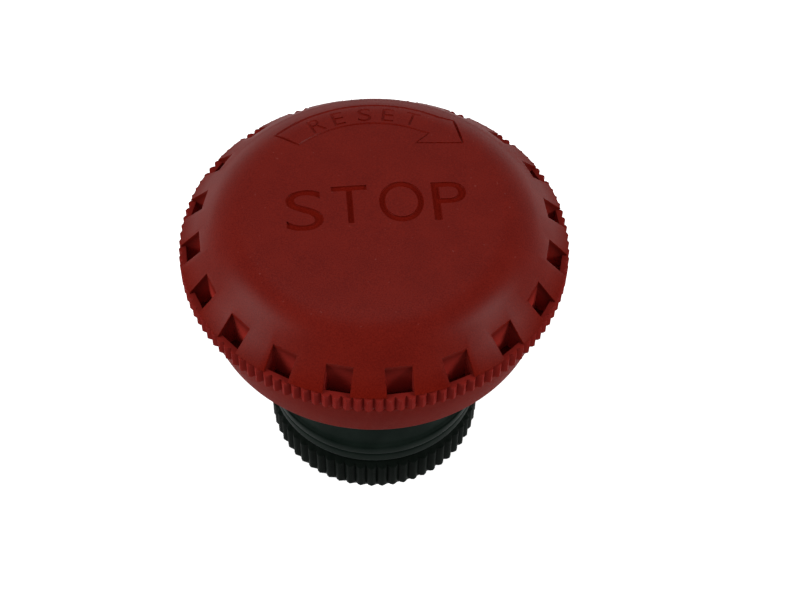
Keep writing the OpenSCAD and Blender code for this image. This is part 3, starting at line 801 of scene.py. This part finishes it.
tail_out = [on_top(14.2 * mm, 138.2 - 2.5 * k) for k in range(31)]
head = [on_top(14.75 * mm, 57.4), on_top(12.55 * mm, 45), on_top(9.5 * mm, 64.9)]
tail_in = [on_top(11.45 * mm, 62.0)] + [on_top(11.3 * mm, 65.2 + 2.5 * k) for k in range(29)]
arrow = drawn("arrow", tail_out + head + tail_in + tail_out[:1])
close_up(arrow)
bpy.ops.object.convert(target="CURVE")
arrow = bpy.context.object
arrow.data.bevel_depth = groove_r
arrow.data.bevel_resolution = 1
bpy.ops.object.convert(target="MESH")
arrow = bpy.context.object
close_up(arrow)
combine(cap, arrow, "DIFFERENCE")
close_up(cap)
smooth(cap, 40)


def satin_cap():
    """The same red with a soft sheen on the dome, which fades down the flank and where it is seen at a
    glancing angle, as on any finely grained plastic. The dome has a few pale specks of wear.
    Sunk letters are dull and painted a touch darker as painted shade, the ridges are dulled by hands
    and painted a lighter red as painted light, and the grip pockets are painted a darker red at the mouth
    as painted shade and a much lighter red towards the bottom as painted light."""
    material, shader, place, colour = satin_red("satin_red_cap", Coat_Roughness=0.34, Coat_IOR=1.15)
    x, y, z = (place.node("ShaderNodeSeparateXYZ", {0: place}, k) for k in range(3))
    r = (x * x + y * y).math("SQRT")
    bend = shoulder_r / math.sqrt(2)
    flat = r.math("MINIMUM", shoulder_x)
    bent = (r - shoulder_x).math("MAXIMUM").math("MINIMUM", bend)
    steep = (r - (shoulder_x + bend)).math("MAXIMUM")
    arch = (shoulder_r * shoulder_r - bent * bent).math("SQRT")
    skin = cap_high.z - shoulder_r - (0.5 / crown_r) * flat * flat + arch - steep
    depth = skin - z
    outer = r.ramp(15.3 * mm, 15.6 * mm)
    # Painted shade: the sunk letters' recesses are mixed a little towards dark red, and their sheen is
    # taken away.
    letters_painted_shade_mask = depth.ramp(0.02 * mm, 0.20 * mm) * (1 - outer)
    # Painted light and shade in the grip pockets: their walls are coloured from a dark red at the mouth to
    # a much lighter red deep inside, where little light reaches, and their sheen is taken away.
    pocket = depth.ramp(0.2 * mm, 0.6 * mm) * outer
    # Painted light: the ridge band is coloured a lighter red than the rest of the same moulding.
    ridges = r.ramp(19.2 * mm, 19.3 * mm) * (1 - z.ramp(rim_z + band_h - 0.2 * mm, rim_z + band_h))
    specks = place.noise(0.45 * mm, 1).ramp(0.74, 0.80) * (1 - outer)
    # Painted shade at the pocket mouths, painted light towards the pocket bottoms.
    pocket_painted_light_and_shade = depth.ramp(0.5 * mm, 3.5 * mm).mix((0.11, 0.009, 0.007, 1), (0.50, 0.040, 0.030, 1))
    # Painted shade in the sunk letters, pale dust specks, painted light and shade in the grip pockets, and
    # painted light on the ridge band.
    for share, shade in ((0.06 * letters_painted_shade_mask, (0.05, 0.004, 0.003, 1)), (0.3 * specks, (0.24, 0.060, 0.050, 1)),
                         (pocket, pocket_painted_light_and_shade), (ridges, (0.180, 0.013, 0.010, 1))):
        colour = share.mix(colour, shade)
    colour.into(shader, "Base Color")
    above_rim = z.ramp(rim_z + band_h - 0.5 * mm, rim_z + band_h + 1.6 * mm)
    glancing = place.node("ShaderNodeLayerWeight", {"Blend": 0.5}, 1).ramp(0.52, 0.78)
    (above_rim * (1 - letters_painted_shade_mask) * (1 - pocket) * (1 - 0.85 * glancing)).into(shader, "Coat Weight")
    return material


dress(cap, satin_cap())
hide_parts("mushroom_cap")
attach(cap, "mushroom")


# The switch stands on a plain pale sheet, lit by three large soft lamps and an even white surround,
# at a level at which a colour renders about as it is written.
def seen_as_white(tree):
    """1 for rays from the camera, from a glossy surface or through glass, and 0 for the rest."""
    path = tree.nodes.new("ShaderNodeLightPath")
    camera_ray, glossy_ray, glass_ray = (Wire(tree, path.outputs[name]) for name in
                                         ("Is Camera Ray", "Is Glossy Ray", "Is Transmission Ray"))
    return camera_ray.math("MAXIMUM", glossy_ray).math("MAXIMUM", glass_ray)


bpy.ops.object.select_all(action="DESELECT")
bpy.ops.mesh.primitive_plane_add(size=3, location=(0, 0, 0))
floor = bpy.context.object
floor.name = "floor"
material, shader, place = start_material("floor_white", Roughness=0.9, Emission_Strength=0.7)
place.noise(80 * mm).mix((0.80, 0.80, 0.80, 1), (0.82, 0.82, 0.82, 1)).into(shader, "Base Color")
seen_as_white(material.node_tree).mix((0, 0, 0, 1), (1, 1, 1, 1)).into(shader, "Emission Color")
dress(floor, material)

world = bpy.data.worlds.new("surround")
bpy.context.scene.world = world
world.use_nodes = True
surround = world.node_tree.nodes["Background"]
surround.inputs["Color"].default_value = (1, 1, 1, 1)
(0.26 + 0.74 * seen_as_white(world.node_tree)).into(surround, "Strength")
bpy.context.scene.view_settings.view_transform = "Standard"

lamp_aim = Vector((0, 0, 30 * mm))
for name, stand, size, power in (("lamp_left", (-0.50, -0.13, 0.31), 0.30, 2.3),
                                 ("lamp_right", (0.49, -0.13, 0.33), 0.24, 1.9),
                                 ("lamp_above", (-0.04, 0.17, 0.64), 0.40, 0.75)):
    bpy.ops.object.light_add(type="AREA", location=stand)
    lamp = bpy.context.object
    lamp.name = name
    lamp.data.size = size
    lamp.data.energy = power
    lamp.rotation_euler = (Vector(stand) - lamp_aim).to_track_quat("Z", "Y").to_euler()
